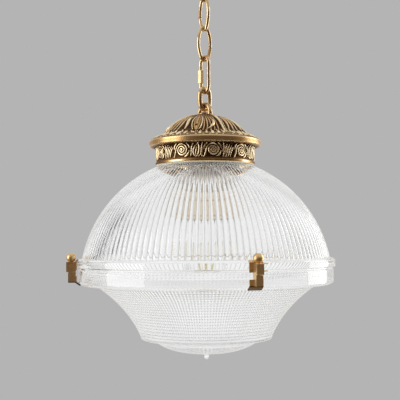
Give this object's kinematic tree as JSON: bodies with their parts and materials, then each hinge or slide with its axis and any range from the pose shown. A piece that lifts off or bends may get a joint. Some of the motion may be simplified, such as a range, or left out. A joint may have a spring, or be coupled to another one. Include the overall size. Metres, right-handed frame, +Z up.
{
  "type": "pendant light",
  "caption": "Hanging light with a ribbed and cross-hatched clear glass globe, ornate brass gallery, rim clips, oval chain and ceiling rose.",
  "frame": {"origin": "centre of the two fixing screw holes, in the plane where the ceiling rose meets the ceiling", "axes": "+Z up, so the lamp hangs below the origin; +X along the line of the two fixing screws; the ceiling hook's eye and every second chain piece lie in the YZ plane"},
  "size_m": [0.3504, 0.3582, 0.6052],
  "materials": {
    "antique_brass": "antiqued cast brass, dark in the recesses",
    "chain_brass": "aged polished brass",
    "clip_brass": "aged satin brass",
    "bright_brass": "satin brass",
    "steel": "zinc plated",
    "nickel": "nickel plated",
    "pressed_glass": "clear pressed prismatic glass",
    "bulb_clear_glass": "clear blown glass",
    "black_glass": "black insulating glass",
    "phosphor": "yellow light-stick coating",
    "porcelain": "glazed white porcelain",
    "pale_rubber": "matt pale gasket",
    "clear_rubber": "clear silicone gasket"
  },
  "bodies": {
    "ceiling": {"ceiling_bracket": "steel", "rose_cup": "antique_brass", "rose_nut": "bright_brass", "ceiling_hook": "antique_brass", "hook_locknut": "steel"},
    "top_link": {"chain_link_top": "chain_brass"},
    "middle_link": {"chain_link_middle": "chain_brass"},
    "lower_link": {"chain_link_lower": "chain_brass"},
    "quick_link": {"quick_link_body": "chain_brass"},
    "quick_link_sleeve": {"quick_link_nut": "chain_brass"},
    "ring": {"oval_ring": "chain_brass"},
    "lamp": {"hanging_loop": "chain_brass", "gallery_cap": "antique_brass", "gallery_band": "antique_brass", "neck_gasket": "pale_rubber", "glass_dome": "pressed_glass", "plate_gasket": "pale_rubber", "neck_plate": "nickel", "threaded_tube": "bright_brass", "tube_nut": "steel", "holder_cap": "bright_brass", "holder_body": "bright_brass", "holder_insert": "porcelain", "holder_thread": "bright_brass", "centre_contact": "bright_brass", "terminal_screws": "steel", "rim_gasket": "clear_rubber", "glass_bowl": "pressed_glass", "clip_upper_1": "clip_brass", "clip_upper_2": "clip_brass", "clip_upper_3": "clip_brass"},
    "bulb": {"bulb_cap": "nickel", "bulb_insulator": "black_glass", "bulb_contact": "steel", "bulb_glass": "bulb_clear_glass", "bulb_stem": "bulb_clear_glass", "bulb_supports": "nickel", "bulb_filaments": "phosphor"},
    "screw_1": {"clip_screw_1": "clip_brass"},
    "jaw_1": {"clip_lower_1": "clip_brass"},
    "screw_2": {"clip_screw_2": "clip_brass"},
    "jaw_2": {"clip_lower_2": "clip_brass"},
    "screw_3": {"clip_screw_3": "clip_brass"},
    "jaw_3": {"clip_lower_3": "clip_brass"}
  },
  "joints": [
    {"name": "top_link_swing", "type": "hinge", "parent": "ceiling", "child": "top_link", "pos_m": [0, 0, -0.06835], "axis": [0, 1, 0], "range_deg": [-25, 25]},
    {"name": "middle_link_swing", "type": "hinge", "parent": "top_link", "child": "middle_link", "pos_m": [0, 0, -0.11015], "axis": [1, 0, 0], "range_deg": [-25, 25]},
    {"name": "lower_link_swing", "type": "hinge", "parent": "middle_link", "child": "lower_link", "pos_m": [0, 0, -0.15205], "axis": [0, 1, 0], "range_deg": [-25, 25]},
    {"name": "quick_link_swing", "type": "hinge", "parent": "lower_link", "child": "quick_link", "pos_m": [0, 0, -0.19395], "axis": [1, 0, 0], "range_deg": [-25, 25]},
    {"name": "sleeve_slide", "type": "slide", "parent": "quick_link", "child": "quick_link_sleeve", "axis": [0, 0, 1], "range_m": [0, 0.0065]},
    {"name": "ring_swing", "type": "hinge", "parent": "quick_link", "child": "ring", "pos_m": [0, 0, -0.2392], "axis": [0, 1, 0], "range_deg": [-25, 25]},
    {"name": "lamp_swing", "type": "hinge", "parent": "ring", "child": "lamp", "pos_m": [0, 0, -0.2625], "axis": [1, 0, 0], "range_deg": [-25, 25]},
    {"name": "bulb_turn", "type": "hinge", "parent": "lamp", "child": "bulb", "pos_m": [0, 0, -0.4024], "axis": [0, 0, -1], "range_deg": [0, 720]},
    {"name": "clip_screw_1_turn", "type": "hinge", "parent": "lamp", "child": "screw_1", "pos_m": [-0.0488, -0.17596, -0.4804], "axis": [0, 0, 1], "range_deg": [0, 1440]},
    {"name": "clip_jaw_1_slide", "type": "slide", "parent": "lamp", "child": "jaw_1", "axis": [0, 0, -1], "range_m": [0, 0.0033]},
    {"name": "clip_screw_2_turn", "type": "hinge", "parent": "lamp", "child": "screw_2", "pos_m": [-0.16123, 0.08573, -0.4804], "axis": [0, 0, 1], "range_deg": [0, 1440]},
    {"name": "clip_jaw_2_slide", "type": "slide", "parent": "lamp", "child": "jaw_2", "axis": [0, 0, -1], "range_m": [0, 0.0033]},
    {"name": "clip_screw_3_turn", "type": "hinge", "parent": "lamp", "child": "screw_3", "pos_m": [0.16771, 0.07223, -0.4804], "axis": [0, 0, 1], "range_deg": [0, 1440]},
    {"name": "clip_jaw_3_slide", "type": "slide", "parent": "lamp", "child": "jaw_3", "axis": [0, 0, -1], "range_m": [0, 0.0033]}
  ],
  "couplings": [
    {"joint": "clip_jaw_1_slide", "follows": "clip_screw_1_turn", "m_per_rad": 0.00012732},
    {"joint": "clip_jaw_2_slide", "follows": "clip_screw_2_turn", "m_per_rad": 0.00012732},
    {"joint": "clip_jaw_3_slide", "follows": "clip_screw_3_turn", "m_per_rad": 0.00012732}
  ]
}
